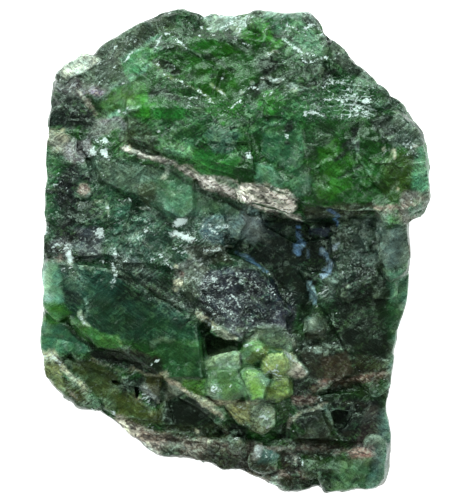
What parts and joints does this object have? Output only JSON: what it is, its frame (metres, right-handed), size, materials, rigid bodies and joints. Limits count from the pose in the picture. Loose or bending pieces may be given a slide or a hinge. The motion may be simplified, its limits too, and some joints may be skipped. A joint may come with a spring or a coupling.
{
  "type": "peridot crystal",
  "caption": "Rough broken crystal of dark green peridot, lying on the flat back of its prism with the stepped, glassy fracture facing up.",
  "frame": {"origin": "middle of the bounding box's underside, on the plane of the resting face", "axes": "+Y along the crystal towards its pointed end, +Z out of the broken front, +X across it"},
  "size_m": [0.0388, 0.0484, 0.026],
  "materials": {
    "peridot": "translucent dark green stone with glassy breaks, pale frosted seams and a few lime chips"
  },
  "bodies": {
    "root": {"peridot_crystal": "peridot"}
  },
  "joints": []
}
